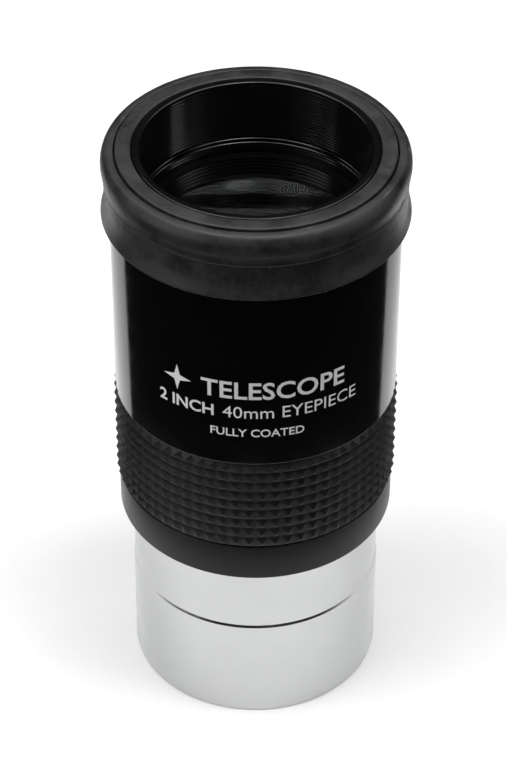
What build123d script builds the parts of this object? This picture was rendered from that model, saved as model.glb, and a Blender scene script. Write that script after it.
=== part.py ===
"""A 2-inch, 40 mm telescope eyepiece, standing on its chromed barrel.

Millimetres. +Z is the optical axis, from the telescope up to the eye, and Z = 0 is the barrel's lower end.
"""
from build123d import *
from math import cos, pi, sin, sqrt
import os

# ---- heights, from the bottom of the barrel up ----
barrel_exposed = 39.7
collar_height = 8.2
grip_height = 21.8
gloss_height = 41.7
eyeguard_height = 13.0

# ---- chromed barrel ----
barrel_radius = 25.4
barrel_wall = 2.2
barrel_edge_bevel = 0.3
barrel_shoulder = 1.0
barrel_thread_length = 6.0
filter_thread_wall = 1.8
filter_thread_length = 6.0
recess_start = 23.6
recess_depth = 0.2
recess_bevel = 0.6
recess_end_gap = 1.0
mouth_chamfer = 0.4

# ---- field stop ----
field_stop_radius = 18.0
field_stop_height = 2.0
field_stop_edge = 0.3
field_stop_taper = 1.0
field_stop_below_top = 0.5

# ---- lower collar ----
collar_overhang = 2.35
collar_spigot_length = 6.0
collar_spigot_wall = 2.35
collar_thread_runout = 0.5
collar_bevel = 0.2

# ---- outer housing ----
body_step = 0.25
housing_wall = 3.2
grip_seat_depth = 1.4
housing_lip_height = 3.4
housing_bevel = 0.3
shoulder_bevel = 0.15

# ---- rubber grip ----
grip_base_thickness = 1.0
knurl_height = 0.8
knurl_columns = 68
knurl_rows = 9
knurl_end_margin = 0.3

# ---- locking screws under the grip ----
lock_screw_count = 3
lock_screw_radius = 1.2
lock_screw_hole_radius = 1.25
lock_screw_bite = 0.8
lock_screw_sunk = 0.2
lock_screw_key_radius = 0.65
lock_screw_key_depth = 1.0

# ---- lens tube ----
tube_shoulder = 1.3
neck_wall = 1.4
neck_drop = 0.1
neck_thread_depth = 0.25
neck_thread_pitch = 0.5
neck_thread_start = 1.0
neck_chamfer = 0.3
lens_tube_wall = 3.65
tube_lower_wall = 2.3
lens_seat_height = 1.6
baffle_groove_depth = 0.4
baffle_groove_pitch = 1.5

# ---- lens stack, from the eye down ----
eye_recess_depth = 16.2
retaining_ring_height = 4.1
retaining_ring_groove_depth = 0.25
retaining_ring_groove_pitch = 0.8
spanner_notch_width = 2.0
spanner_notch_depth = 1.2
cushion_thickness = 0.3
lens_seat_width = 0.95
eye_lens_curve = 82.7
eye_lens_edge = 2.4
spacer_length = 13.5
spacer_groove_depth = 0.3
spacer_groove_pitch = 1.0
crown_top_curve = 39.0
cement_curve = 40.0
crown_edge = 2.0
cement_thickness = 0.03
flint_bottom_curve = 160.0
flint_centre = 2.5

# ---- rubber eyeguard ----
eyeguard_base_wall = 3.15
eyeguard_mouth_gap = 0.2
eyeguard_mouth_depth = 1.2
eyeguard_edge = 0.15
fold_gap = 0.3
cuff_drop = 0.35
cuff_overlap = 1.0
cuff_ledge_width = 1.4
cuff_lip_overhang = 1.4
cuff_neck_overhang = 0.85
cuff_skirt_overhang = 1.66
cuff_lip_below_top = 2.5
cuff_crease_below_top = 6.4
cuff_crease_depth = 0.15
cuff_crease_height = 0.5

# ---- clearances, on the radius ----
running_clearance = 0.05
thread_clearance = 0.05
lens_fit = 0.05
spacer_fit = 0.05
tube_fit = 0.1
guard_fit = 0.05
cuff_clearance = 0.3

# ---- how far a cutting shape runs past the surface it cuts ----
cutter_overlap = 1.0

# ---- heights worked out from those ----
collar_bottom = barrel_exposed
collar_top = collar_bottom + collar_height
grip_top = collar_top + grip_height
housing_top = grip_top + gloss_height
guard_top = housing_top + eyeguard_height
tube_top = guard_top - neck_drop
housing_lip_bottom = housing_top - housing_lip_height
spigot_top = collar_top + collar_spigot_length
barrel_top = barrel_exposed + barrel_thread_length

# ---- radii worked out from the barrel outwards and the housing inwards ----
barrel_bore = barrel_radius - barrel_wall
barrel_thread_radius = barrel_radius - barrel_shoulder
collar_radius = barrel_radius + collar_overhang
body_radius = collar_radius + body_step
housing_bore = body_radius - housing_wall
grip_seat_radius = body_radius - grip_seat_depth
spigot_radius = housing_bore - thread_clearance
tube_radius = housing_bore - tube_fit
neck_radius = tube_radius - tube_shoulder
neck_bore = neck_radius - neck_wall
lens_bore = tube_radius - lens_tube_wall
lens_radius = lens_bore - lens_fit
clear_radius = lens_bore - lens_fit - lens_seat_width
ring_radius = neck_bore - thread_clearance


def sag(curve, radius):
    """Depth of a spherical surface of this curve, from its crown to this radius."""
    return curve - sqrt(curve ** 2 - radius ** 2)


# ---- heights in the lens stack, from the retaining ring down ----
ring_top = tube_top - eye_recess_depth
ring_bottom = ring_top - retaining_ring_height
eye_contact_top = ring_bottom - cushion_thickness
eye_crown_top = eye_contact_top + sag(eye_lens_curve, clear_radius)
eye_rim_top = eye_crown_top - sag(eye_lens_curve, lens_radius)
eye_rim_bottom = eye_rim_top - eye_lens_edge
eye_crown_bottom = eye_rim_bottom - sag(eye_lens_curve, lens_radius)
spacer_top = eye_crown_bottom + sag(eye_lens_curve, clear_radius)
spacer_bottom = spacer_top - spacer_length
crown_top = spacer_bottom + sag(crown_top_curve, clear_radius)
crown_rim_top = crown_top - sag(crown_top_curve, lens_radius)
crown_rim_bottom = crown_rim_top - crown_edge
crown_bottom = crown_rim_bottom - sag(cement_curve, lens_radius)
flint_rim_top = crown_rim_bottom - cement_thickness
flint_top = crown_bottom - cement_thickness
flint_bottom = flint_top - flint_centre
flint_rim_bottom = flint_bottom + sag(flint_bottom_curve, lens_radius)
field_contact = flint_bottom + sag(flint_bottom_curve, clear_radius)
lens_seat_top = field_contact - cushion_thickness
lens_seat_bottom = lens_seat_top - lens_seat_height


def turned(points):
    """A solid of revolution about Z from a closed outline of (radius, height) points."""
    with BuildPart() as turning:
        with BuildSketch(Plane.XZ):
            with BuildLine():
                Polyline(*points, close=True)
            make_face()
        revolve(axis=Axis.Z)
    return turning.part


def grooves(radius, depth, pitch, low, high):
    """Outline points of V grooves cut outwards into a bore, from low to high."""
    count = int((high - low) / pitch)
    start = (low + high - count * pitch) / 2
    land = pitch / 4
    points = []
    for turn in range(count):
        foot = start + turn * pitch
        points.append((radius, foot + land / 2))
        points.append((radius + depth, foot + pitch / 2))
        points.append((radius, foot + pitch - land / 2))
    return points


def cut_notches(ring, outer_radius, inner_radius, top):
    """Two spanner notches across the top face of a threaded ring."""
    width = outer_radius - inner_radius
    middle = (outer_radius + inner_radius) / 2
    notch = Box(2 * width, spanner_notch_width, 2 * spanner_notch_depth)
    for side in (-1, 1):
        ring = ring - Pos(side * middle, 0, top) * notch
    return ring


def chrome_barrel():
    """2-inch push-fit barrel: M48 filter thread at its crest below, shallow recess, threaded spigot above."""
    recess_radius = barrel_radius - recess_depth
    recess_end = barrel_exposed - recess_end_gap
    filter_crest = barrel_radius - filter_thread_wall
    outline = [
        (filter_crest + mouth_chamfer, 0),
        (barrel_radius - barrel_edge_bevel, 0),
        (barrel_radius, barrel_edge_bevel),
        (barrel_radius, recess_start),
        (recess_radius, recess_start + recess_bevel),
        (recess_radius, recess_end - recess_depth),
        (barrel_radius, recess_end),
        (barrel_radius, barrel_exposed - collar_bevel),
        (barrel_radius - collar_bevel, barrel_exposed),
        (barrel_thread_radius, barrel_exposed),
        (barrel_thread_radius, barrel_top - barrel_edge_bevel),
        (barrel_thread_radius - barrel_edge_bevel, barrel_top),
        (barrel_bore, barrel_top),
    ]
    stop_zone = barrel_top - field_stop_below_top - 2 * field_stop_height
    baffle = grooves(barrel_bore, spacer_groove_depth, spacer_groove_pitch,
                     filter_thread_length + 2 * mouth_chamfer, stop_zone)
    outline += reversed(baffle)
    outline.append((barrel_bore, filter_thread_length + mouth_chamfer))
    outline.append((filter_crest, filter_thread_length))
    outline.append((filter_crest, mouth_chamfer))
    return turned(outline)


def field_stop_ring():
    """Knife-edged ring in the top of the barrel that frames the field of view."""
    outer = barrel_bore - running_clearance
    top = barrel_top - field_stop_below_top
    bottom = top - field_stop_height
    ring = turned([
        (outer, bottom),
        (outer, top),
        (field_stop_radius, top),
        (field_stop_radius, top - field_stop_edge),
        (field_stop_radius + field_stop_taper, bottom),
    ])
    return cut_notches(ring, outer, (outer + field_stop_radius) / 2, bottom)


def lower_collar():
    """Satin collar: takes the barrel's thread from below and screws into the housing above."""
    thread_bore = barrel_thread_radius + running_clearance
    spigot_bore = spigot_radius - collar_spigot_wall
    collar = turned([
        (thread_bore, collar_bottom),
        (collar_radius - collar_bevel, collar_bottom),
        (collar_radius, collar_bottom + collar_bevel),
        (collar_radius, collar_top - collar_bevel),
        (collar_radius - collar_bevel, collar_top),
        (spigot_radius, collar_top),
        (spigot_radius, spigot_top),
        (spigot_bore, spigot_top),
        (spigot_bore, barrel_top + collar_thread_runout),
        (thread_bore, barrel_top + collar_thread_runout),
    ])
    return collar - lock_screw_holes(spigot_radius - lock_screw_bite)


def lock_screw_places():
    """Planes on the optical axis, facing outwards, one for each locking screw."""
    height = collar_top + collar_spigot_length / 2
    for number in range(lock_screw_count):
        turn = 360 * number / lock_screw_count + 90
        yield Pos(0, 0, height) * Rot(0, 0, turn) * Rot(0, 90, 0)


def lock_screw_holes(inner_end):
    """Radial holes for the locking screws, from inner_end out through the grip seat."""
    length = grip_seat_radius + cutter_overlap - inner_end
    hole = Cylinder(lock_screw_hole_radius, length, align=(Align.CENTER, Align.CENTER, Align.MIN))
    return [place * Pos(0, 0, inner_end) * hole for place in lock_screw_places()]


def collar_lock_screws():
    """Headless screws that pin the housing to the collar, hidden by the rubber grip."""
    inner_end = spigot_radius - lock_screw_bite
    length = grip_seat_radius - lock_screw_sunk - inner_end
    screw = Cylinder(lock_screw_radius, length, align=(Align.CENTER, Align.CENTER, Align.MIN))
    key = extrude(RegularPolygon(lock_screw_key_radius, 6), lock_screw_key_depth)
    screw = screw - Pos(0, 0, length - lock_screw_key_depth) * key
    return Compound([place * Pos(0, 0, inner_end) * screw for place in lock_screw_places()])


def outer_housing():
    """Gloss black sleeve, cut back below for the grip, with a lip that holds the lens tube down."""
    lip_bore = neck_radius + tube_fit / 2
    housing = turned([
        (housing_bore, collar_top),
        (grip_seat_radius, collar_top),
        (grip_seat_radius, grip_top),
        (body_radius - shoulder_bevel, grip_top),
        (body_radius, grip_top + shoulder_bevel),
        (body_radius, housing_top - housing_bevel),
        (body_radius - housing_bevel, housing_top),
        (lip_bore, housing_top),
        (lip_bore, housing_lip_bottom),
        (housing_bore, housing_lip_bottom),
    ])
    return housing - lock_screw_holes(housing_bore - cutter_overlap)


def rubber_grip():
    """Rubber band covered in square-based points, stretched over the grip seat."""
    root = grip_seat_radius + grip_base_thickness
    crest = root + knurl_height
    flutes = []
    for column in range(2 * knurl_columns):
        reach = crest if column % 2 == 0 else root
        angle = pi * column / knurl_columns
        flutes.append((reach * cos(angle), reach * sin(angle)))
    with BuildPart() as fluted:
        with BuildSketch(Plane.XY.offset(collar_top)):
            with BuildLine():
                Polyline(*flutes, close=True)
            make_face()
            Circle(grip_seat_radius, mode=Mode.SUBTRACT)
        extrude(amount=grip_height)
    low = collar_top + knurl_end_margin
    pitch = (grip_height - 2 * knurl_end_margin) / knurl_rows
    inside = grip_seat_radius - cutter_overlap
    outline = [(inside, collar_top), (root, collar_top), (root, low)]
    for row in range(knurl_rows):
        outline.append((crest, low + (row + 0.5) * pitch))
        outline.append((root, low + (row + 1) * pitch))
    outline += [(root, grip_top), (inside, grip_top)]
    return fluted.part & turned(outline)


def lens_tube():
    """Inner tube that holds the lenses; its threaded neck stands up inside the eyeguard."""
    lower_bore = tube_radius - tube_lower_wall
    cone = lower_bore - clear_radius
    ring_floor = eye_rim_top - eye_lens_edge / 2
    outline = [
        (lower_bore, spigot_top),
        (tube_radius, spigot_top),
        (tube_radius, housing_lip_bottom),
        (neck_radius, housing_lip_bottom),
        (neck_radius, tube_top - neck_chamfer / 2),
        (neck_radius - neck_chamfer / 2, tube_top),
        (neck_bore + neck_chamfer, tube_top),
        (neck_bore, tube_top - neck_chamfer),
    ]
    thread = grooves(neck_bore, neck_thread_depth, neck_thread_pitch,
                     ring_top + neck_thread_start, tube_top - neck_chamfer)
    outline += reversed(thread)
    outline += [
        (neck_bore, ring_floor),
        (lens_bore, ring_floor),
        (lens_bore, lens_seat_top),
        (clear_radius, lens_seat_top),
        (clear_radius, lens_seat_bottom),
        (lower_bore, lens_seat_bottom - cone),
    ]
    baffle = grooves(lower_bore, baffle_groove_depth, baffle_groove_pitch,
                     spigot_top + baffle_groove_pitch, lens_seat_bottom - cone - baffle_groove_pitch)
    outline += reversed(baffle)
    return turned(outline)


def cushion_ring(bottom):
    """Thin flat washer that keeps glass off metal."""
    return turned([
        (clear_radius, bottom),
        (lens_radius - spacer_fit, bottom),
        (lens_radius - spacer_fit, bottom + cushion_thickness),
        (clear_radius, bottom + cushion_thickness),
    ])


def lens(bottom_rim, bottom_crown, top_rim, top_crown):
    """A round lens from the heights of its rim and its middle, below and above."""
    half = lens_radius / 2
    bottom_depth = bottom_rim - bottom_crown
    top_depth = top_crown - top_rim
    with BuildPart() as glass:
        with BuildSketch(Plane.XZ):
            with BuildLine():
                ThreePointArc((0, bottom_crown), (half, bottom_crown + half_sag(bottom_depth)),
                              (lens_radius, bottom_rim))
                Line((lens_radius, bottom_rim), (lens_radius, top_rim))
                ThreePointArc((lens_radius, top_rim), (half, top_crown - half_sag(top_depth)),
                              (0, top_crown))
                Line((0, top_crown), (0, bottom_crown))
            make_face()
        revolve(axis=Axis.Z)
    return glass.part


def half_sag(depth):
    """Depth at half the lens radius of the sphere that is this deep at its rim, with its sign."""
    size = abs(depth)
    curve = (lens_radius ** 2 + size ** 2) / (2 * size)
    return sag(curve, lens_radius / 2) * (1 if depth > 0 else -1)


def eye_lens():
    """Biconvex lens nearest the eye."""
    return lens(eye_rim_bottom, eye_crown_bottom, eye_rim_top, eye_crown_top)


def field_lens_crown():
    """Upper, strongly convex half of the cemented field lens."""
    return lens(crown_rim_bottom, crown_bottom, crown_rim_top, crown_top)


def field_lens_flint():
    """Lower half of the cemented field lens, hollow above to take the crown glass."""
    return lens(flint_rim_bottom, flint_bottom, flint_rim_top, flint_top)


def lens_spacer_tube():
    """Grooved black tube that sets the gap between the two lens groups."""
    outer = lens_bore - lens_fit - spacer_fit
    outline = [
        (clear_radius, spacer_bottom),
        (outer, spacer_bottom),
        (outer, spacer_top),
        (clear_radius, spacer_top),
    ]
    ribs = grooves(clear_radius, spacer_groove_depth, spacer_groove_pitch, spacer_bottom, spacer_top)
    outline += reversed(ribs)
    return turned(outline)


def eye_lens_retaining_ring():
    """Threaded ring that holds the whole lens stack down, with notches for a ring spanner."""
    outline = [
        (clear_radius, ring_bottom),
        (ring_radius, ring_bottom),
        (ring_radius, ring_top),
        (clear_radius, ring_top),
    ]
    ribs = grooves(clear_radius, retaining_ring_groove_depth, retaining_ring_groove_pitch,
                   ring_bottom, ring_top)
    outline += reversed(ribs)
    return cut_notches(turned(outline), ring_radius, clear_radius, ring_top)


def eyeguard_base():
    """Inner wall of the rubber eyeguard, stretched over the neck of the lens tube."""
    inner = neck_radius + guard_fit
    mouth = inner + eyeguard_mouth_gap
    outer = inner + eyeguard_base_wall
    return turned([
        (inner, housing_top),
        (outer, housing_top),
        (outer, guard_top - eyeguard_edge),
        (outer - eyeguard_edge, guard_top),
        (mouth + eyeguard_edge, guard_top),
        (mouth, guard_top - eyeguard_edge),
        (mouth, guard_top - eyeguard_mouth_depth),
        (inner, guard_top - eyeguard_mouth_depth - eyeguard_mouth_gap),
    ])


def eyeguard_cuff():
    """Outer wall of the rubber eyeguard, shown folded down round the base."""
    inner = neck_radius + guard_fit + eyeguard_base_wall + fold_gap
    top = guard_top - cuff_drop
    bottom = housing_top - cuff_overlap
    ledge = inner + cuff_ledge_width
    lip = body_radius + cuff_lip_overhang
    neck = body_radius + cuff_neck_overhang
    skirt = body_radius + cuff_skirt_overhang
    pocket = body_radius + cuff_clearance
    lip_height = top - cuff_lip_below_top
    crease = top - cuff_crease_below_top
    crease_foot = crease - cuff_crease_height
    with BuildPart() as cuff:
        with BuildSketch(Plane.XZ):
            with BuildLine():
                Line((pocket, bottom), (skirt, bottom))
                Spline((skirt, bottom), (neck, crease_foot), tangents=((-0.35, 1), (0, 1)))
                Line((neck, crease_foot), (neck + cuff_crease_depth, crease))
                Spline((neck + cuff_crease_depth, crease), (lip, lip_height), (ledge, top),
                       tangents=((0.15, 1), (-1, 0.05)))
                Line((ledge, top), (inner, top))
                Line((inner, top), (inner, housing_top + cuff_clearance))
                Line((inner, housing_top + cuff_clearance), (pocket, housing_top + cuff_clearance))
                Line((pocket, housing_top + cuff_clearance), (pocket, bottom))
            make_face()
        revolve(axis=Axis.Z)
    return cuff.part


nodes = {
    "chrome_barrel": chrome_barrel(),
    "field_stop_ring": field_stop_ring(),
    "lower_collar": lower_collar(),
    "collar_lock_screws": collar_lock_screws(),
    "outer_housing": outer_housing(),
    "rubber_grip": rubber_grip(),
    "lens_tube": lens_tube(),
    "field_lens_cushion_ring": cushion_ring(lens_seat_top),
    "field_lens_flint": field_lens_flint(),
    "field_lens_crown": field_lens_crown(),
    "lens_spacer_tube": lens_spacer_tube(),
    "eye_lens": eye_lens(),
    "eye_lens_cushion_ring": cushion_ring(eye_contact_top),
    "eye_lens_retaining_ring": eye_lens_retaining_ring(),
    "eyeguard_base": eyeguard_base(),
    "eyeguard_cuff": eyeguard_cuff(),
}

os.makedirs("parts", exist_ok=True)
for name, solid in nodes.items():
    export_step(solid, f"parts/{name}.step")
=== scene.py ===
from math import cos, pi, radians, sin, sqrt

import bmesh
import bpy
from mathutils import Matrix, Vector


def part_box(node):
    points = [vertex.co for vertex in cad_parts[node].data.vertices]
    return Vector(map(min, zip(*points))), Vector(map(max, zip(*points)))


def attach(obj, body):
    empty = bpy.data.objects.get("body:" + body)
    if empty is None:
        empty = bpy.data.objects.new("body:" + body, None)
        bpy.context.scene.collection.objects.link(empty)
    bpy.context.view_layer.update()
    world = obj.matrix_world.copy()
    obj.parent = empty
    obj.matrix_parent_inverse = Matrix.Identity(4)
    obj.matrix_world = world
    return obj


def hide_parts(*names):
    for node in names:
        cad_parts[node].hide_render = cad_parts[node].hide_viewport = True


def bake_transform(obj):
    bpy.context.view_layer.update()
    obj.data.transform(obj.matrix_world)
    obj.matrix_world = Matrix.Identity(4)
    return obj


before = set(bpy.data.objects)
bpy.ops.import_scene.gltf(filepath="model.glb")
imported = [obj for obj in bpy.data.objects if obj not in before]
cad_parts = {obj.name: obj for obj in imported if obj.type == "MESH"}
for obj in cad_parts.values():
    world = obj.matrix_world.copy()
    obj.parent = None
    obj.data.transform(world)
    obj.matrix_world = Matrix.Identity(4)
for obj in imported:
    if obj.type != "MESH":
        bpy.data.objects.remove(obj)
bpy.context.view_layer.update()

# A 2-inch telescope eyepiece. The CAD frame gives every place; sizes below are in millimetres.
MM = 0.001
ROUND_STEPS = 192      # facets round a turned piece
GLASS_STEPS = 128      # facets round a lens
FILLET_STEPS = 4       # facets across a rounded corner
CURVE_STEPS = 5        # facets between two given points of a free curve
EDGE_PULL = 0.48       # a rounding takes at most this share of each side
THREAD_FLAT = 0.15     # half of a groove's floor, as a share of half the groove


def low(node):
    """Height of a node's foot."""
    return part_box(node)[0].z / MM


def high(node):
    """Height of a node's top."""
    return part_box(node)[1].z / MM


def reach(node):
    """Outer radius of a round node."""
    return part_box(node)[1].x / MM


# ---------------------------------------------------------------- turning

def filleted(corners):
    """A closed profile's points, from corners (radius, height) or (radius, height, rounding)."""
    points = []
    for number, corner in enumerate(corners):
        here = Vector(corner[:2])
        if len(corner) == 2:
            points.append(here)
            continue
        back = Vector(corners[number - 1][:2]) - here
        on = Vector(corners[(number + 1) % len(corners)][:2]) - here
        start = here + back.normalized() * min(corner[2], back.length * EDGE_PULL)
        end = here + on.normalized() * min(corner[2], on.length * EDGE_PULL)
        for step in range(FILLET_STEPS + 1):
            t = step / FILLET_STEPS
            points.append(start * (1 - t) ** 2 + here * 2 * t * (1 - t) + end * t ** 2)
    return points


def curve_through(points):
    """Points of a smooth curve that passes through the given ones."""
    given = [Vector(p) for p in points]
    given = [given[0] * 2 - given[1]] + given + [given[-1] * 2 - given[-2]]
    smooth = []
    for a, b, c, d in zip(given, given[1:], given[2:], given[3:]):
        for step in range(CURVE_STEPS):
            t = step / CURVE_STEPS
            smooth.append(0.5 * (2 * b + (c - a) * t + (2 * a - 5 * b + 4 * c - d) * t ** 2
                                 + (3 * b - a - 3 * c + d) * t ** 3))
    smooth.append(given[-2])
    return [tuple(p) for p in smooth]


def screw_rings(crest, root, pitch, bottom, top, groove=0.8):
    """Corners of a thread's rings, from the bottom up, on a wall at radius crest, cut to radius root.

    A groove takes this share of each pitch, and the rest is flat crest.
    """
    count = int((top - bottom) / pitch)
    start = (top + bottom - count * pitch) / 2
    corners = []
    for ring in range(count):
        middle = start + (ring + 0.5) * pitch
        for side, radius in ((-1.0, crest), (-THREAD_FLAT, root), (THREAD_FLAT, root), (1.0, crest)):
            corners.append((radius, middle + side * groove * pitch / 2))
    return corners


def make_object(name, bm, material, sharp_angle=35):
    """Makes the finished piece, with smooth shading, sharp corners and one material."""
    mesh = bpy.data.meshes.new(name)
    bm.to_mesh(mesh)
    bm.free()
    mesh.shade_smooth()
    mesh.set_sharp_from_angle(angle=radians(sharp_angle))
    mesh.materials.append(material)
    piece = bpy.data.objects.new(name, mesh)
    bpy.context.scene.collection.objects.link(piece)
    return piece


def spun(corners, steps=ROUND_STEPS):
    """A closed mesh turned from a profile about the optical axis."""
    bm = bmesh.new()
    ring = [bm.verts.new((x * MM, 0, z * MM)) for x, z in filleted(corners)]
    for here, following in zip(ring, ring[1:] + ring[:1]):
        bm.edges.new((here, following))
    bmesh.ops.spin(bm, geom=bm.verts[:] + bm.edges[:], cent=(0, 0, 0), axis=(0, 0, 1),
                   dvec=(0, 0, 0), angle=2 * pi, steps=steps, use_merge=True, use_duplicate=False)
    bmesh.ops.remove_doubles(bm, verts=bm.verts, dist=1e-7)
    bmesh.ops.dissolve_degenerate(bm, edges=bm.edges, dist=1e-8)
    bmesh.ops.recalc_face_normals(bm, faces=bm.faces)
    return bm


def turned(name, corners, material, body, node):
    """A turned piece that rides on a body, stands for a CAD node and takes a slot's finish."""
    piece = make_object(name, spun(corners), material)
    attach(piece, body)
    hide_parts(node)
    return piece


# ---------------------------------------------------------------- shader groups

def add(tree, kind, inputs=None, **settings):
    """A shader node with its settings and input values."""
    node = tree.nodes.new(kind)
    for key, value in settings.items():
        setattr(node, key, value)
    for key, value in (inputs or {}).items():
        if isinstance(value, bpy.types.NodeSocket):
            tree.links.new(value, node.inputs[key])
        else:
            node.inputs[key].default_value = value
    return node


def new_group(name, numbers=(), colours=(), out_numbers=(), out_colours=()):
    """An empty node group with named sockets, and its input and output nodes."""
    tree = bpy.data.node_groups.new(name, "ShaderNodeTree")
    for label in colours:
        tree.interface.new_socket(label, in_out="INPUT", socket_type="NodeSocketColor")
    for label in numbers:
        tree.interface.new_socket(label, in_out="INPUT", socket_type="NodeSocketFloat")
    for label in out_colours:
        tree.interface.new_socket(label, in_out="OUTPUT", socket_type="NodeSocketColor")
    for label in out_numbers:
        tree.interface.new_socket(label, in_out="OUTPUT", socket_type="NodeSocketFloat")
    return tree, tree.nodes.new("NodeGroupInput"), tree.nodes.new("NodeGroupOutput")


def noise_height(tree, scale, detail, roughness=0.55, vector=None):
    """Object-space noise, as a socket from 0 to 1."""
    if vector is None:
        vector = add(tree, "ShaderNodeTexCoord").outputs["Object"]
    noise = add(tree, "ShaderNodeTexNoise",
                {"Vector": vector, "Scale": scale, "Detail": detail, "Roughness": roughness})
    return noise.outputs["Fac"]


def spread(tree, value, low_in, high_in, low_out=0.0, high_out=1.0):
    """Stretches a value from one range to another and clamps it."""
    return add(tree, "ShaderNodeMapRange", {
        "Value": value, "From Min": low_in, "From Max": high_in,
        "To Min": low_out, "To Max": high_out}).outputs["Result"]


def math_node(tree, operation, first, second=0.0):
    """One sum on two values, as a socket."""
    return add(tree, "ShaderNodeMath", {0: first, 1: second}, operation=operation).outputs[0]


def weighed(tree, first, second, share):
    """Two values added, the first with this share and the second with the rest."""
    return math_node(tree, "ADD", math_node(tree, "MULTIPLY", first, share),
                     math_node(tree, "MULTIPLY", second, 1 - share))


SLOW_SHARE = 0.6       # the rest of a mottle is fine


def mottle_group():
    """Two tones in slow and fine patches, as in moulded rubber, paint or anodising."""
    tree, given, result = new_group("mottle", numbers=("Patch Scale", "Fine Scale", "Contrast"),
                                    colours=("Dark", "Light"), out_numbers=("Mask",),
                                    out_colours=("Colour",))
    slow = noise_height(tree, given.outputs["Patch Scale"], 2.0)
    fine = noise_height(tree, given.outputs["Fine Scale"], 4.0, 0.6)
    both = weighed(tree, slow, fine, SLOW_SHARE)
    centred = math_node(tree, "SUBTRACT", both, 0.5)
    mask = math_node(tree, "ADD", math_node(tree, "MULTIPLY", centred, given.outputs["Contrast"]), 0.5)
    mix = add(tree, "ShaderNodeMix", {"Factor": mask}, data_type="RGBA")
    tree.links.new(given.outputs["Dark"], mix.inputs[6])
    tree.links.new(given.outputs["Light"], mix.inputs[7])
    tree.links.new(mask, result.inputs["Mask"])
    tree.links.new(mix.outputs[2], result.inputs["Colour"])
    return tree


WANDER_SCALE = 40.0    # how quickly lathe rings stray from true


def turning_marks_group():
    """Fine rings left by the lathe: they follow height on a wall and radius on a face."""
    tree, given, result = new_group("turning_marks", numbers=("Lines", "Wander"),
                                    out_numbers=("Height",))
    place = add(tree, "ShaderNodeTexCoord").outputs["Object"]
    parts = add(tree, "ShaderNodeSeparateXYZ", {0: place})
    flat = add(tree, "ShaderNodeCombineXYZ", {0: parts.outputs[0], 1: parts.outputs[1]})
    radius = add(tree, "ShaderNodeVectorMath", {0: flat.outputs[0]}, operation="LENGTH").outputs["Value"]
    bend = math_node(tree, "MULTIPLY", noise_height(tree, WANDER_SCALE, 1.0), given.outputs["Wander"])
    ring = add(tree, "ShaderNodeCombineXYZ", {0: radius, 1: bend, 2: parts.outputs[2]})
    lines = noise_height(tree, given.outputs["Lines"], 2.0, 0.7, ring.outputs[0])
    tree.links.new(lines, result.inputs["Height"])
    return tree


PORE_FLOOR = 0.06      # distance from a pore's middle where it is deepest
PORE_RIM = 0.22        # distance where it ends


def grain_group():
    """Fine surface grain with scattered pores, as a height."""
    tree, given, result = new_group("grain", numbers=("Grain Scale", "Pore Scale", "Pore Depth"),
                                    out_numbers=("Height",))
    place = add(tree, "ShaderNodeTexCoord").outputs["Object"]
    grain = noise_height(tree, given.outputs["Grain Scale"], 5.0, 0.65, place)
    cells = add(tree, "ShaderNodeTexVoronoi", {"Vector": place, "Scale": given.outputs["Pore Scale"]})
    pores = spread(tree, cells.outputs["Distance"], PORE_FLOOR, PORE_RIM)
    deep = math_node(tree, "MULTIPLY", pores, given.outputs["Pore Depth"])
    tree.links.new(math_node(tree, "ADD", grain, deep), result.inputs["Height"])
    return tree


SPECK_CORE = 0.03      # distance from a speck's middle where it is solid
SPECK_RIM = 0.09       # distance where it ends


def dust_group():
    """Sparse specks of dust and lint, as a mask."""
    tree, given, result = new_group("dust", numbers=("Scale", "Amount"), out_numbers=("Mask",))
    place = add(tree, "ShaderNodeTexCoord").outputs["Object"]
    cells = add(tree, "ShaderNodeTexVoronoi", {"Vector": place, "Scale": given.outputs["Scale"]})
    speck = spread(tree, cells.outputs["Distance"], SPECK_RIM, SPECK_CORE)
    chance = add(tree, "ShaderNodeSeparateColor", {0: cells.outputs["Color"]}).outputs[0]
    kept = math_node(tree, "LESS_THAN", chance, given.outputs["Amount"])
    tree.links.new(math_node(tree, "MULTIPLY", speck, kept), result.inputs["Mask"])
    return tree


WEAR_BREAKS = 900.0    # scale of the breaks in a rubbed edge
LEAST_WEAR = 0.35


def rubbed_edges_group():
    """Edges and high points that handling has polished, as a mask."""
    tree, given, result = new_group("rubbed_edges", numbers=("Start", "Full"), out_numbers=("Mask",))
    point = add(tree, "ShaderNodeNewGeometry").outputs["Pointiness"]
    edge = spread(tree, point, given.outputs["Start"], given.outputs["Full"])
    broken = spread(tree, noise_height(tree, WEAR_BREAKS, 4.0, 0.7), 0.3, 0.7, LEAST_WEAR, 1.0)
    tree.links.new(math_node(tree, "MULTIPLY", edge, broken), result.inputs["Mask"])
    return tree


MOTTLE = mottle_group()
TURNING_MARKS = turning_marks_group()
GRAIN = grain_group()
DUST = dust_group()
RUBBED = rubbed_edges_group()


def use(tree, group, **values):
    """Places a shader group in a material with its own values."""
    node = tree.nodes.new("ShaderNodeGroup")
    node.node_tree = group
    for key, value in values.items():
        node.inputs[key.replace("_", " ")].default_value = value
    return node


def new_material(name, **values):
    """A material with one Principled shader whose plain sockets are set directly."""
    material = bpy.data.materials.new(name)
    material.use_nodes = True
    tree = material.node_tree
    shader = tree.nodes["Principled BSDF"]
    for key, value in values.items():
        shader.inputs[key.replace("_", " ")].default_value = value
    return material, tree, shader


def grey(value, tint=0.0):
    """A near neutral colour; a positive tint leans to blue."""
    return (value * (1 - tint), value, value * (1 + tint), 1)


def set_bump(tree, shader, height, depth, strength=1.0):
    """Feeds a height through a Bump node of this depth in millimetres."""
    bump = add(tree, "ShaderNodeBump", {"Height": height, "Distance": depth * MM, "Strength": strength})
    tree.links.new(bump.outputs[0], shader.inputs["Normal"])


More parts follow.
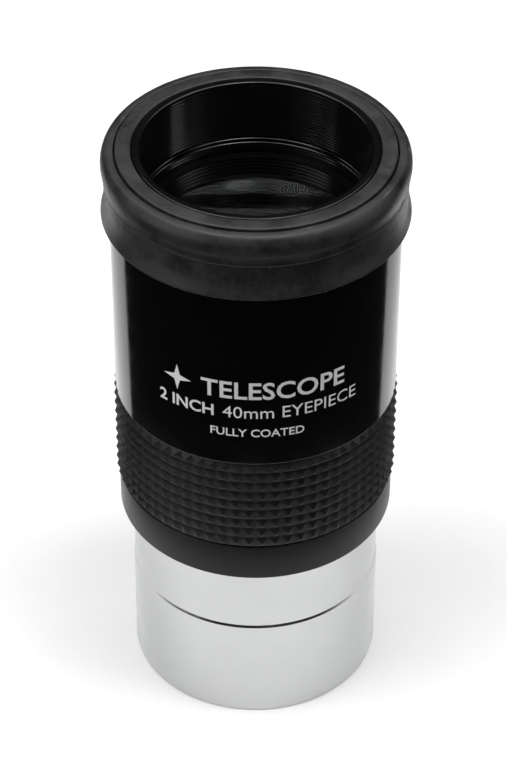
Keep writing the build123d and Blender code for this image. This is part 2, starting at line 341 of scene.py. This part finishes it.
def lighten(tree, colour, mask, towards):
    """Mixes a varying colour towards one tone where the mask is high."""
    mix = add(tree, "ShaderNodeMix", {"Factor": mask}, data_type="RGBA")
    tree.links.new(colour, mix.inputs[6])
    mix.inputs[7].default_value = towards
    return mix.outputs[2]


# ---------------------------------------------------------------- finishes

PORES_PER_GRAIN = 0.6
RUBBER_DUST = 0.35     # how strongly a speck of dust shows on each finish
GLOSS_DUST = 0.10
DUST_GREY = 0.30
LINT_GREY = 0.25


def rubber(name, dark, light, worn, grain_scale, bump_depth, smooth, rough):
    """Moulded black rubber: two-tone bloom, fine pores, dust, and edges rubbed lighter."""
    material, tree, shader = new_material(name, Specular_IOR_Level=0.35, IOR=1.5)
    tone = use(tree, MOTTLE, Dark=grey(dark), Light=grey(light), Patch_Scale=130.0,
               Fine_Scale=1000.0, Contrast=2.8)
    dust = use(tree, DUST, Scale=420.0, Amount=0.10)
    edges = use(tree, RUBBED, Start=0.52, Full=0.62)
    colour = lighten(tree, tone.outputs["Colour"], edges.outputs["Mask"], grey(worn))
    dusted = math_node(tree, "MULTIPLY", dust.outputs["Mask"], RUBBER_DUST)
    colour = lighten(tree, colour, dusted, grey(DUST_GREY))
    tree.links.new(colour, shader.inputs["Base Color"])
    tree.links.new(spread(tree, tone.outputs["Mask"], 0.2, 0.8, smooth, rough), shader.inputs["Roughness"])
    grain = use(tree, GRAIN, Grain_Scale=grain_scale, Pore_Scale=grain_scale * PORES_PER_GRAIN,
                Pore_Depth=0.5)
    set_bump(tree, shader, grain.outputs["Height"], bump_depth)
    return material


def anodised(name, dark, light, smooth, rough, edge=3.0, bump_depth=0.004, specular=0.4):
    """Black anodised aluminium over faint lathe rings; edge is how much lighter its edges are rubbed."""
    material, tree, shader = new_material(name, Specular_IOR_Level=specular, IOR=1.5)
    tone = use(tree, MOTTLE, Dark=grey(dark), Light=grey(light, 0.02), Patch_Scale=120.0,
               Fine_Scale=2600.0, Contrast=1.4)
    edges = use(tree, RUBBED, Start=0.54, Full=0.66)
    tree.links.new(lighten(tree, tone.outputs["Colour"], edges.outputs["Mask"], grey(light * edge)),
                   shader.inputs["Base Color"])
    marks = use(tree, TURNING_MARKS, Lines=9000.0, Wander=0.0004)
    uneven = weighed(tree, marks.outputs["Height"], tone.outputs["Mask"], 0.5)
    tree.links.new(spread(tree, uneven, 0.3, 0.7, smooth, rough), shader.inputs["Roughness"])
    set_bump(tree, shader, marks.outputs["Height"], bump_depth)
    return material


def gloss_black_finish():
    """Deep gloss black coat: slight orange peel, wiping haze and a few specks."""
    material, tree, shader = new_material("gloss_black", IOR=1.5, Specular_IOR_Level=0.5)
    tone = use(tree, MOTTLE, Dark=grey(0.0007), Light=grey(0.0015, 0.03), Patch_Scale=60.0,
               Fine_Scale=900.0, Contrast=1.5)
    dust = use(tree, DUST, Scale=300.0, Amount=0.05)
    dusted = math_node(tree, "MULTIPLY", dust.outputs["Mask"], GLOSS_DUST)
    tree.links.new(lighten(tree, tone.outputs["Colour"], dusted, grey(LINT_GREY)),
                   shader.inputs["Base Color"])
    haze = noise_height(tree, 130.0, 5.0, 0.65)
    tree.links.new(spread(tree, haze, 0.3, 0.75, 0.07, 0.17), shader.inputs["Roughness"])
    peel = noise_height(tree, 700.0, 1.0, 0.4)
    set_bump(tree, shader, peel, 0.0012)
    return material


def chrome_finish():
    """Bright chrome plate over fine lathe rings, with faint finger smears."""
    material, tree, shader = new_material("barrel_chrome_plate", Metallic=1.0)
    tone = use(tree, MOTTLE, Dark=grey(0.54), Light=grey(0.61, 0.01), Patch_Scale=70.0,
               Fine_Scale=500.0, Contrast=1.2)
    tree.links.new(tone.outputs["Colour"], shader.inputs["Base Color"])
    marks = use(tree, TURNING_MARKS, Lines=12000.0, Wander=0.0003)
    smear = spread(tree, noise_height(tree, 85.0, 4.0, 0.6), 0.45, 0.75)
    uneven = weighed(tree, marks.outputs["Height"], smear, 0.35)
    tree.links.new(spread(tree, uneven, 0.1, 0.8, 0.10, 0.26), shader.inputs["Roughness"])
    set_bump(tree, shader, marks.outputs["Height"], 0.0016)
    return material


def lens_glass(name, tint):
    """Coated optical glass: weak reflection that the tint scales, and rough specks of dust."""
    material, tree, shader = new_material(name, Transmission_Weight=1.0, IOR=1.517,
                                          Specular_IOR_Level=0.2, Specular_Tint=tint)
    tone = use(tree, MOTTLE, Dark=grey(0.93), Light=grey(0.98, 0.01), Patch_Scale=80.0,
               Fine_Scale=600.0, Contrast=1.0)
    tree.links.new(tone.outputs["Colour"], shader.inputs["Base Color"])
    dust = use(tree, DUST, Scale=500.0, Amount=0.04)
    tree.links.new(spread(tree, dust.outputs["Mask"], 0.0, 1.0, 0.0, 0.25), shader.inputs["Roughness"])
    return material


def printed_ink():
    """White pad-printed ink, a little uneven in cover."""
    material, tree, shader = new_material("white_ink", Specular_IOR_Level=0.4)
    tone = use(tree, MOTTLE, Dark=grey(0.84), Light=grey(0.95), Patch_Scale=300.0,
               Fine_Scale=5000.0, Contrast=1.6)
    tree.links.new(tone.outputs["Colour"], shader.inputs["Base Color"])
    tree.links.new(spread(tree, tone.outputs["Mask"], 0.2, 0.8, 0.4, 0.6), shader.inputs["Roughness"])
    grain = use(tree, GRAIN, Grain_Scale=9000.0, Pore_Scale=5000.0, Pore_Depth=0.4)
    set_bump(tree, shader, grain.outputs["Height"], 0.002)
    return material


guard_rubber = rubber("eyeguard_moulded_rubber", dark=0.006, light=0.030, worn=0.075,
                      grain_scale=5200.0, bump_depth=0.012, smooth=0.34, rough=0.58)
grip_rubber = rubber("grip_moulded_rubber", dark=0.004, light=0.010, worn=0.035,
                     grain_scale=6500.0, bump_depth=0.010, smooth=0.42, rough=0.58)
gloss_black = gloss_black_finish()
chrome = chrome_finish()
satin_black = anodised("collar_satin_anodised", dark=0.007, light=0.012, smooth=0.30, rough=0.42,
                       specular=0.22)
neck_black = anodised("lens_tube_anodised", dark=0.0015, light=0.0035, smooth=0.10, rough=0.18,
                      bump_depth=0.0008, specular=0.5)
ring_black = anodised("retaining_ring_anodised", dark=0.001, light=0.003, smooth=0.16, rough=0.26,
                      edge=1.0, bump_depth=0.0008, specular=0.25)
inner_black = anodised("inner_matt_black", dark=0.002, light=0.005, smooth=0.40, rough=0.60, edge=1.0)
edge_paint = anodised("lens_edge_black_paint", dark=0.004, light=0.008, smooth=0.5, rough=0.7)
screw_steel = anodised("black_oxide_steel", dark=0.020, light=0.050, smooth=0.30, rough=0.45)
eye_glass = lens_glass("eye_lens_coated_glass", tint=grey(0.10, 0.03))
field_glass = lens_glass("field_lens_coated_glass", tint=grey(0.055, 0.03))
ink = printed_ink()


# ---------------------------------------------------------------- chrome barrel

BARREL_WALL = 2.2
MOUTH_BEVEL = 0.1
FILTER_THREAD_ROOT = 24.0
FILTER_THREAD_CREST = 23.6
FILTER_THREAD_PITCH = 0.75
FILTER_THREAD_LENGTH = 6.0
RECESS_START = 23.6
RECESS_BEVEL = 0.7
RECESS_DEPTH = 0.2
RECESS_END_GAP = 1.0
BARREL_SHOULDER = 1.0
BARREL_THREAD_DEPTH = 0.35
BARREL_THREAD_PLAIN = 0.4    # plain wall at each end of the upper thread
BAFFLE_PITCH = 1.0
BAFFLE_DEPTH = 0.3
BAFFLE_PLAIN = 0.8           # plain wall between the filter thread and the baffle rings
BAFFLE_END_GAP = 0.6
FILTER_THREAD_START = 0.35
FILTER_THREAD_RUNOUT = 0.4


def barrel_corners():
    """Profile of the barrel, from its lower mouth up the outside and down the bore."""
    radius = reach("chrome_barrel")
    top = high("chrome_barrel")
    shoulder = low("lower_collar")
    bore = radius - BARREL_WALL
    spigot = radius - BARREL_SHOULDER
    recess = radius - RECESS_DEPTH
    recess_end = shoulder - RECESS_END_GAP
    outside = [
        (FILTER_THREAD_ROOT + MOUTH_BEVEL, 0.0, 0.1),
        (radius, 0.0, 0.35),
        (radius, RECESS_START, 0.12),
        (recess, RECESS_START + RECESS_BEVEL, 0.12),
        (recess, recess_end - RECESS_DEPTH, 0.1),
        (radius, recess_end, 0.1),
        (radius, shoulder, 0.2),
        (spigot, shoulder, 0.05),
    ]
    thread = screw_rings(spigot, spigot - BARREL_THREAD_DEPTH, FILTER_THREAD_PITCH,
                         shoulder + BARREL_THREAD_PLAIN, top - BARREL_THREAD_PLAIN)
    inside = [(spigot, top, 0.3), (bore, top, 0.1)]
    baffle = screw_rings(bore, bore + BAFFLE_DEPTH, BAFFLE_PITCH, FILTER_THREAD_LENGTH + BAFFLE_PLAIN,
                         low("field_stop_ring") - BAFFLE_END_GAP)
    filter_thread = screw_rings(FILTER_THREAD_CREST, FILTER_THREAD_ROOT, FILTER_THREAD_PITCH,
                                FILTER_THREAD_START, FILTER_THREAD_LENGTH)
    inside += baffle[::-1]
    inside += [(bore, FILTER_THREAD_LENGTH + FILTER_THREAD_RUNOUT),
               (FILTER_THREAD_CREST, FILTER_THREAD_LENGTH)]
    inside += filter_thread[::-1]
    return outside + thread + inside


turned("barrel_shell", barrel_corners(), chrome, "barrel", "chrome_barrel")


# ---------------------------------------------------------------- collar, housing and lens tube

COLLAR_SHOULDER = 3.0        # step in from the collar's wall to its spigot
COLLAR_SPIGOT_WALL = 2.35
COLLAR_THREAD_FIT = 0.05
COLLAR_BORE_GAP = 0.5        # room above the barrel's end
HOUSING_WALL = 3.2
GRIP_SEAT_DEPTH = 1.4
HOUSING_LIP_REACH = 4.55     # the inward lip at the top, from the outer wall
HOUSING_LIP_HEIGHT = 3.4


def collar_corners():
    """Profile of the satin collar with its threaded bore and spigot."""
    radius = reach("lower_collar")
    bottom = low("lower_collar")
    top = low("rubber_grip")
    spigot_top = high("lower_collar")
    spigot = radius - COLLAR_SHOULDER
    spigot_bore = spigot - COLLAR_SPIGOT_WALL
    thread_bore = reach("chrome_barrel") - BARREL_SHOULDER + COLLAR_THREAD_FIT
    bore_top = high("chrome_barrel") + COLLAR_BORE_GAP
    return [
        (thread_bore, bottom, 0.1),
        (radius, bottom, 0.3),
        (radius, top, 0.2),
        (spigot, top),
        (spigot, spigot_top, 0.2),
        (spigot_bore, spigot_top, 0.2),
        (spigot_bore, bore_top, 0.2),
        (thread_bore, bore_top),
    ]


def housing_corners():
    """Profile of the gloss black sleeve, cut back below under the grip."""
    radius = reach("outer_housing")
    bottom = low("outer_housing")
    top = high("outer_housing")
    grip_top = high("rubber_grip")
    bore = radius - HOUSING_WALL
    seat = radius - GRIP_SEAT_DEPTH
    lip = radius - HOUSING_LIP_REACH
    lip_foot = top - HOUSING_LIP_HEIGHT
    return [
        (bore, bottom),
        (seat, bottom),
        (seat, grip_top),
        (radius, grip_top, 0.22),
        (radius, top, 0.35),
        (lip, top, 0.1),
        (lip, lip_foot),
        (bore, lip_foot),
    ]


NECK_THREAD_PITCH = 0.65
NECK_THREAD_DEPTH = 0.13
NECK_THREAD_GROOVE = 0.55
RUNOUT_HEIGHTS = (2.3, 3.25) # feet of two wide grooves, above the retaining ring
RUNOUT_DEPTH = 0.24
RUNOUT_BEVEL = 0.14
RUNOUT_WIDTH = 0.55
NECK_THREAD_START = 0.7      # plain wall above the retaining ring
NECK_THREAD_END = 0.35       # plain wall at the mouth
NECK_WALL = 1.4
TUBE_SHOULDER = 1.3
TUBE_WALL = 2.3
LENS_FIT = 0.05
LENS_SEAT = 1.0              # how far the lens seat stands in from the lens bore
LENS_SEAT_HEIGHT = 1.6
RING_DEPTH = 5.6             # from the retaining ring's top to the floor of its thread
TUBE_BAFFLE_PITCH = 1.5
TUBE_BAFFLE_DEPTH = 0.4
TUBE_BAFFLE_PLAIN = 1.5


def lens_tube_corners():
    """Profile of the lens tube: baffled below, lens seat, and the threaded neck above."""
    radius = reach("lens_tube")
    bottom = low("lens_tube")
    top = high("lens_tube")
    neck = radius - TUBE_SHOULDER
    neck_bore = neck - NECK_WALL
    shoulder = high("outer_housing") - HOUSING_LIP_HEIGHT
    ring_top = high("eye_lens_retaining_ring")
    ring_floor = ring_top - RING_DEPTH
    lens_bore = reach("eye_lens") + LENS_FIT
    clear = lens_bore - LENS_SEAT
    seat_top = low("field_lens_cushion_ring")
    seat_foot = seat_top - LENS_SEAT_HEIGHT
    lower_bore = radius - TUBE_WALL
    cone_foot = seat_foot - (lower_bore - clear)
    thread_root = neck_bore + NECK_THREAD_DEPTH
    lower_thread = screw_rings(neck_bore, thread_root, NECK_THREAD_PITCH,
                               ring_top + NECK_THREAD_START, ring_top + RUNOUT_HEIGHTS[0],
                               NECK_THREAD_GROOVE)
    upper_thread = screw_rings(neck_bore, thread_root, NECK_THREAD_PITCH,
                               ring_top + RUNOUT_HEIGHTS[1] + RUNOUT_WIDTH, top - NECK_THREAD_END,
                               NECK_THREAD_GROOVE)
    runout = []
    for rise in RUNOUT_HEIGHTS:
        foot = ring_top + rise
        runout += [(neck_bore, foot), (neck_bore + RUNOUT_DEPTH, foot + RUNOUT_BEVEL),
                   (neck_bore + RUNOUT_DEPTH, foot + RUNOUT_WIDTH - RUNOUT_BEVEL),
                   (neck_bore, foot + RUNOUT_WIDTH)]
    baffle = screw_rings(lower_bore, lower_bore + TUBE_BAFFLE_DEPTH, TUBE_BAFFLE_PITCH,
                         bottom + TUBE_BAFFLE_PLAIN, cone_foot - TUBE_BAFFLE_PLAIN)
    return [
        (lower_bore, bottom),
        (radius, bottom, 0.2),
        (radius, shoulder, 0.1),
        (neck, shoulder),
        (neck, top, 0.2),
        (neck_bore, top, 0.28),
        *(lower_thread + runout + upper_thread)[::-1],
        (neck_bore, ring_floor),
        (lens_bore, ring_floor),
        (lens_bore, seat_top),
        (clear, seat_top),
        (clear, seat_foot),
        (lower_bore, cone_foot),
        *baffle[::-1],
    ]


turned("collar_ring", collar_corners(), satin_black, "body", "lower_collar")
turned("gloss_sleeve", housing_corners(), gloss_black, "body", "outer_housing")
turned("lens_tube_wall", lens_tube_corners(), neck_black, "body", "lens_tube")


# ---------------------------------------------------------------- lenses

def sphere_drop(curve, radius):
    """How far a spherical surface falls from its crown, this far from the axis."""
    return curve - sqrt(curve ** 2 - radius ** 2)


DOME_STEPS = 20
PAINTED_EDGE = 0.05          # the black edge starts this far inside the rim


def dome(edge_radius, rim, crown):
    """Points of a spherical surface from its crown on the axis out to its rim."""
    depth = abs(crown - rim)
    curve = (edge_radius ** 2 + depth ** 2) / (2 * depth)
    side = 1 if crown > rim else -1
    points = []
    for step in range(DOME_STEPS + 1):
        out = edge_radius * sin(pi / 2 * step / DOME_STEPS)
        points.append((out, crown - side * sphere_drop(curve, out)))
    return points


def lens_piece(name, node, glass, below, above):
    """A lens from the (rim, crown) heights of its lower and upper faces, its edge painted black."""
    radius = reach(node)
    corners = dome(radius, *below) + dome(radius, *above)[::-1]
    bm = spun(corners, GLASS_STEPS)
    for face in bm.faces:
        middle = face.calc_center_median().xy.length / MM
        face.material_index = 1 if middle > radius - PAINTED_EDGE and abs(face.normal.z) < 0.1 else 0
    piece = make_object(name, bm, glass)
    piece.data.materials.append(edge_paint)
    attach(piece, "body")
    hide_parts(node)
    return piece


EYE_CURVE = 82.7
CEMENT_CURVE = 40.0
FIELD_TOP_CURVE = 39.0
FIELD_BOTTOM_CURVE = 160.0

lens_radius = reach("eye_lens")
eye_drop = sphere_drop(EYE_CURVE, lens_radius)
cement_drop = sphere_drop(CEMENT_CURVE, lens_radius)
field_top_drop = sphere_drop(FIELD_TOP_CURVE, lens_radius)
field_bottom_drop = sphere_drop(FIELD_BOTTOM_CURVE, lens_radius)
lens_piece("eye_lens_glass", "eye_lens", eye_glass,
           (low("eye_lens") + eye_drop, low("eye_lens")),
           (high("eye_lens") - eye_drop, high("eye_lens")))
lens_piece("field_crown_glass", "field_lens_crown", field_glass,
           (low("field_lens_crown") + cement_drop, low("field_lens_crown")),
           (high("field_lens_crown") - field_top_drop, high("field_lens_crown")))
lens_piece("field_flint_glass", "field_lens_flint", field_glass,
           (low("field_lens_flint") + field_bottom_drop, low("field_lens_flint")),
           (high("field_lens_flint"), high("field_lens_flint") - cement_drop))

for node, finish in {
    "eye_lens_retaining_ring": ring_black,
    "lens_spacer_tube": inner_black,
    "field_stop_ring": inner_black,
    "eye_lens_cushion_ring": inner_black,
    "field_lens_cushion_ring": inner_black,
    "collar_lock_screws": screw_steel,
}.items():
    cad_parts[node].material_slots[0].material = finish


# ---------------------------------------------------------------- rubber grip

GRIP_COLUMNS = 68
GRIP_ROWS = 9
GRIP_MARGIN = 0.3
POINT_HEIGHT = 0.8
POINT_ROUNDING = 0.07
GRIP_BASE = 1.0
RIM_BEVEL = 0.08


def knurled_band():
    """Rubber band of square-based points: a flat moulded sheet rolled round and closed inside."""
    bottom = low("rubber_grip") + GRIP_MARGIN
    top = high("rubber_grip") - GRIP_MARGIN
    crest = reach("rubber_grip")
    root = crest - POINT_HEIGHT
    bm = bmesh.new()
    bmesh.ops.create_grid(bm, x_segments=GRIP_COLUMNS, y_segments=GRIP_ROWS, size=1.0)
    bmesh.ops.scale(bm, vec=(pi * root, (top - bottom) / 2, 1), verts=bm.verts)
    bmesh.ops.translate(bm, vec=(0, (top + bottom) / 2, 0), verts=bm.verts)
    cells = bm.faces[:]
    tips = bmesh.ops.poke(bm, faces=cells, offset=POINT_HEIGHT, center_mode="MEAN")["verts"]
    ridges = {edge for tip in tips for edge in tip.link_edges}
    bmesh.ops.bevel(bm, geom=list(ridges), offset=POINT_ROUNDING, offset_type="OFFSET", segments=2,
                    profile=0.5, affect="EDGES", material=-1)
    for level, sign in ((bottom, -1), (top, 1)):
        rim = [e for e in bm.edges if e.is_boundary and all(abs(v.co.y - level) < 1e-5 for v in e.verts)]
        for step in ((0, sign * (GRIP_MARGIN - RIM_BEVEL), 0), (0, sign * RIM_BEVEL, -RIM_BEVEL),
                     (0, 0, RIM_BEVEL - GRIP_BASE)):
            grown = bmesh.ops.extrude_edge_only(bm, edges=rim)["geom"]
            moved = [item for item in grown if isinstance(item, bmesh.types.BMVert)]
            rim = [item for item in grown if isinstance(item, bmesh.types.BMEdge)]
            bmesh.ops.translate(bm, vec=step, verts=moved)
    for vert in bm.verts:
        turn = vert.co.x / root
        out = (root + vert.co.z) * MM
        vert.co = Vector((out * cos(turn), out * sin(turn), vert.co.y * MM))
    bmesh.ops.remove_doubles(bm, verts=bm.verts, dist=2e-6)
    bmesh.ops.bridge_loops(bm, edges=[e for e in bm.edges if e.is_boundary])
    bmesh.ops.recalc_face_normals(bm, faces=bm.faces)
    piece = make_object("knurled_rubber_band", bm, grip_rubber, sharp_angle=40)
    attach(piece, "body")
    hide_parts("rubber_grip")


knurled_band()


# ---------------------------------------------------------------- rubber eyeguard

GUARD_WALL = 3.15
MOUTH_STEP = 0.2             # the mouth is this much wider than the sleeve's bore
MOUTH_DEPTH = 1.2
CUFF_GAP = 0.3               # room between the cuff and what it slides over
# The cuff's outside, as how far it stands in from the skirt and how high above the skirt's foot.
CUFF_FLARE = ((0.02, 0.35), (0.28, 1.5), (0.55, 2.9), (0.72, 4.6), (0.80, 6.2), (0.84, 7.05))
CUFF_LIP = ((0.66, 7.35), (0.71, 7.9), (0.60, 8.8), (0.36, 9.9), (0.25, 11.1), (0.36, 12.1),
            (0.72, 12.95), (1.20, 13.45))
LEDGE_INSET = 1.65           # where the lip meets the flat ledge
LEDGE_DROP = 0.02


def guard_sleeve_corners():
    """Profile of the eyeguard's inner wall, on the neck of the lens tube."""
    outer = reach("eyeguard_base")
    bottom = low("eyeguard_base")
    top = high("eyeguard_base")
    inner = outer - GUARD_WALL
    mouth = inner + MOUTH_STEP
    return [
        (inner, bottom, 0.1),
        (outer, bottom, 0.1),
        (outer, top, 0.35),
        (mouth, top, 0.3),
        (mouth, top - MOUTH_DEPTH, 0.2),
        (inner, top - MOUTH_DEPTH - MOUTH_STEP, 0.1),
    ]


def guard_cuff_corners():
    """Profile of the folded cuff: flared skirt, creased neck, rounded lip and narrow ledge."""
    skirt = reach("eyeguard_cuff")
    bottom = low("eyeguard_cuff")
    top = high("eyeguard_cuff")
    inner = reach("eyeguard_base") + CUFF_GAP
    pocket = reach("outer_housing") + CUFF_GAP
    pocket_top = high("outer_housing") + CUFF_GAP
    flare = curve_through([(skirt - inset, bottom + rise) for inset, rise in CUFF_FLARE])
    lip = curve_through([(skirt - inset, bottom + rise) for inset, rise in CUFF_LIP]
                        + [(skirt - LEDGE_INSET, top - LEDGE_DROP)])
    return [
        (pocket, bottom, 0.15),
        (skirt - 0.04, bottom, 0.3),
        *flare,
        *lip,
        (inner, top, 0.3),
        (inner, pocket_top, 0.1),
        (pocket, pocket_top, 0.1),
    ]


turned("eyeguard_inner_wall", guard_sleeve_corners(), guard_rubber, "body", "eyeguard_base")
turned("eyeguard_folded_cuff", guard_cuff_corners(), guard_rubber, "cuff", "eyeguard_cuff")

WEB_GAP = 0.08
WEB_THICKNESS = 0.14
WEB_RINGS = 24
WEB_FOOT = 0.5               # the web starts this far above the sleeve's foot
WEB_END = 2.0                # and ends this far below the cuff's top


def fold_web():
    """Thin wall between base and cuff, spun at rest and baked in place on no body."""
    inner = reach("eyeguard_base") + WEB_GAP
    bottom = low("eyeguard_base") + WEB_FOOT
    top = high("eyeguard_cuff") - WEB_END
    rise = (top - bottom) / WEB_RINGS
    up = [(inner + WEB_THICKNESS, bottom + rise * ring) for ring in range(WEB_RINGS + 1)]
    down = [(inner, height) for _, height in reversed(up)]
    piece = make_object("eyeguard_fold_web", spun(up + down), guard_rubber)
    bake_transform(piece)


fold_web()


# ---------------------------------------------------------------- white print

PRINT_THICKNESS = 0.02
PRINT_STRIP = 0.6            # widest flat piece of print on the round wall
PRINT_LIFT = 0.005           # keeps the print's back off the wall
CAPITAL_SHARE = 0.729        # a capital's height as a share of the font's size


def lettering(words, height, thicken=0.0):
    """Flat letters of this capital height in millimetres, centred, as a mesh in the XY plane."""
    font = bpy.data.curves.new("letters", "FONT")
    font.body = words
    font.size = height / CAPITAL_SHARE
    font.offset = thicken
    font.align_x = "CENTER"
    font.extrude = PRINT_THICKNESS / 2
    font.resolution_u = 3
    letters = bpy.data.objects.new("letters", font)
    bpy.context.scene.collection.objects.link(letters)
    shapes = bpy.context.evaluated_depsgraph_get()
    mesh = bpy.data.meshes.new_from_object(letters.evaluated_get(shapes))
    bpy.data.objects.remove(letters)
    return mesh


STAR_POINTS = 4


def star_outline(size, waist):
    """A plain star with long points, flat in the XY plane."""
    bm = bmesh.new()
    corners = []
    for step in range(2 * STAR_POINTS):
        out = size if step % 2 == 0 else waist
        turn = pi * step / STAR_POINTS + pi / 2
        corners.append(bm.verts.new((out * cos(turn), out * sin(turn), -PRINT_THICKNESS / 2)))
    face = bm.faces.new(corners)
    grown = bmesh.ops.extrude_face_region(bm, geom=[face])["geom"]
    lifted = [item for item in grown if isinstance(item, bmesh.types.BMVert)]
    bmesh.ops.translate(bm, vec=(0, 0, PRINT_THICKNESS), verts=lifted)
    bmesh.ops.recalc_face_normals(bm, faces=bm.faces)
    mesh = bpy.data.meshes.new("star")
    bm.to_mesh(mesh)
    bm.free()
    return mesh


def wrap_print(name, rows):
    """Lays flat marks on the front of the housing: rows of (mesh, middle along the wall, height)."""
    wall = reach("outer_housing") + PRINT_THICKNESS / 2 + PRINT_LIFT
    bm = bmesh.new()
    for mesh, along, height in rows:
        part = bmesh.new()
        part.from_mesh(mesh)
        bmesh.ops.translate(part, vec=(along, height, 0), verts=part.verts)
        placed = bpy.data.meshes.new("row")
        part.to_mesh(placed)
        part.free()
        bm.from_mesh(placed)
    spans = [v.co.x for v in bm.verts]
    cut = min(spans) + PRINT_STRIP
    while cut < max(spans):
        bmesh.ops.bisect_plane(bm, geom=bm.verts[:] + bm.edges[:] + bm.faces[:],
                               plane_co=(cut, 0, 0), plane_no=(1, 0, 0))
        cut += PRINT_STRIP
    for vert in bm.verts:
        turn = vert.co.x / wall
        out = (wall + vert.co.z) * MM
        vert.co = Vector((out * sin(turn), -out * cos(turn), vert.co.y * MM))
    bmesh.ops.remove_doubles(bm, verts=bm.verts, dist=1e-7)
    bmesh.ops.triangulate(bm, faces=[f for f in bm.faces if len(f.verts) > 4])
    piece = make_object(name, bm, ink, sharp_angle=30)
    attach(piece, "body")


NAME_ROW = 85.9
STAR_ROW = 88.0
SIZE_ROW = 81.2
COATING_ROW = 76.7

wrap_print("white_print", [
    (lettering("TELESCOPE", 4.1, thicken=0.09), 3.7, NAME_ROW),
    (star_outline(3.0, 0.9), -15.7, STAR_ROW),
    (lettering("2 INCH", 2.7, thicken=0.08), -13.9, SIZE_ROW),
    (lettering("40mm EYEPIECE", 2.9), 7.3, SIZE_ROW),
    (lettering("FULLY COATED", 1.9, thicken=0.03), 0.3, COATING_ROW),
])


# ---------------------------------------------------------------- floor, light and camera

# Places and sizes in this part are in metres.
FLOOR_FRONT = 0.082
FLOOR_REACH = 0.4
FLOOR_OPENING = radians(66)  # half of the angle that opens wide, from straight behind


def floor():
    """Plain pale sheet: a round tongue under the eyepiece that opens wide behind it."""
    bm = bmesh.new()
    bmesh.ops.create_circle(bm, cap_ends=True, radius=FLOOR_FRONT, segments=96)
    behind = [v for v in bm.verts if v.co.normalized().y > cos(FLOOR_OPENING)]
    bmesh.ops.scale(bm, vec=(FLOOR_REACH / FLOOR_FRONT,) * 3, verts=behind)
    material, tree, shader = new_material("pale_floor", Roughness=0.9, Specular_IOR_Level=0.1)
    tone = use(tree, MOTTLE, Dark=grey(0.88), Light=grey(0.92), Patch_Scale=3.0, Fine_Scale=60.0,
               Contrast=1.0)
    tree.links.new(tone.outputs["Colour"], shader.inputs["Base Color"])
    piece = make_object("floor", bm, material)


def softbox(name, place, aim, size, power):
    """A large soft lamp at a place in metres, facing a point."""
    lamp = bpy.data.lights.new(name, "AREA")
    lamp.shape = "RECTANGLE"
    lamp.size, lamp.size_y = size
    lamp.energy = power
    box = bpy.data.objects.new(name, lamp)
    bpy.context.scene.collection.objects.link(box)
    box.location = place
    box.rotation_euler = (Vector(aim) - Vector(place)).to_track_quat("-Z", "Y").to_euler()


ROOM_GREY = 0.022            # what the room gives to the object's light and reflections


def studio():
    """A dim room whose backdrop is white to the camera: lamps overhead, behind and at each side."""
    world = bpy.data.worlds.new("studio")
    bpy.context.scene.world = world
    world.use_nodes = True
    tree = world.node_tree
    backdrop = add(tree, "ShaderNodeMapRange", {"Value": add(tree, "ShaderNodeLightPath").outputs[0],
                                                "To Min": ROOM_GREY, "To Max": 1.0})
    tree.nodes["Background"].inputs["Color"].default_value = (1, 1, 1, 1)
    tree.links.new(backdrop.outputs[0], tree.nodes["Background"].inputs["Strength"])
    middle = (0, 0, 0.06)
    behind = (0, 0.2, 0)
    softbox("overhead_softbox", (0.0, -0.14, 1.0), middle, size=(1.8, 0.5), power=11.2)
    softbox("small_overhead_lamp", (0.13, -0.06, 0.97), middle, size=(0.2, 0.2), power=1.5)
    softbox("dim_overhead_lamp", (-0.30, -0.03, 0.97), middle, size=(0.35, 0.3), power=1.2)
    softbox("back_softbox", (0.0, 0.55, 0.95), behind, size=(1.4, 0.4), power=4.0)
    softbox("left_softbox", (-0.70, -0.43, 0.24), middle, size=(0.7, 0.8), power=3.1)
    softbox("right_softbox", (0.80, -0.20, 0.24), middle, size=(0.42, 0.8), power=1.5)
    bpy.context.scene.view_settings.view_transform = "Standard"


CAMERA_AIM = Vector((-0.00044, 0.0, 0.0680))
CAMERA_DISTANCE = 0.55399
CAMERA_ELEVATION = 0.6803
CAMERA_LENS = 131.1
CAMERA_ROLL = 0.002


def camera():
    """Looks down on the front of the eyepiece."""
    lens = bpy.data.cameras.new("camera")
    lens.sensor_width = 36
    lens.lens = CAMERA_LENS
    lens.clip_end = 20
    eye = bpy.data.objects.new("camera", lens)
    bpy.context.scene.collection.objects.link(eye)
    back = Vector((0, -cos(CAMERA_ELEVATION), sin(CAMERA_ELEVATION)))
    place = CAMERA_AIM + back * CAMERA_DISTANCE
    turn = back.to_track_quat("Z", "Y").to_matrix() @ Matrix.Rotation(CAMERA_ROLL, 3, "Z")
    eye.matrix_world = Matrix.Translation(place) @ turn.to_4x4()
    bpy.context.scene.camera = eye


floor()
studio()
camera()
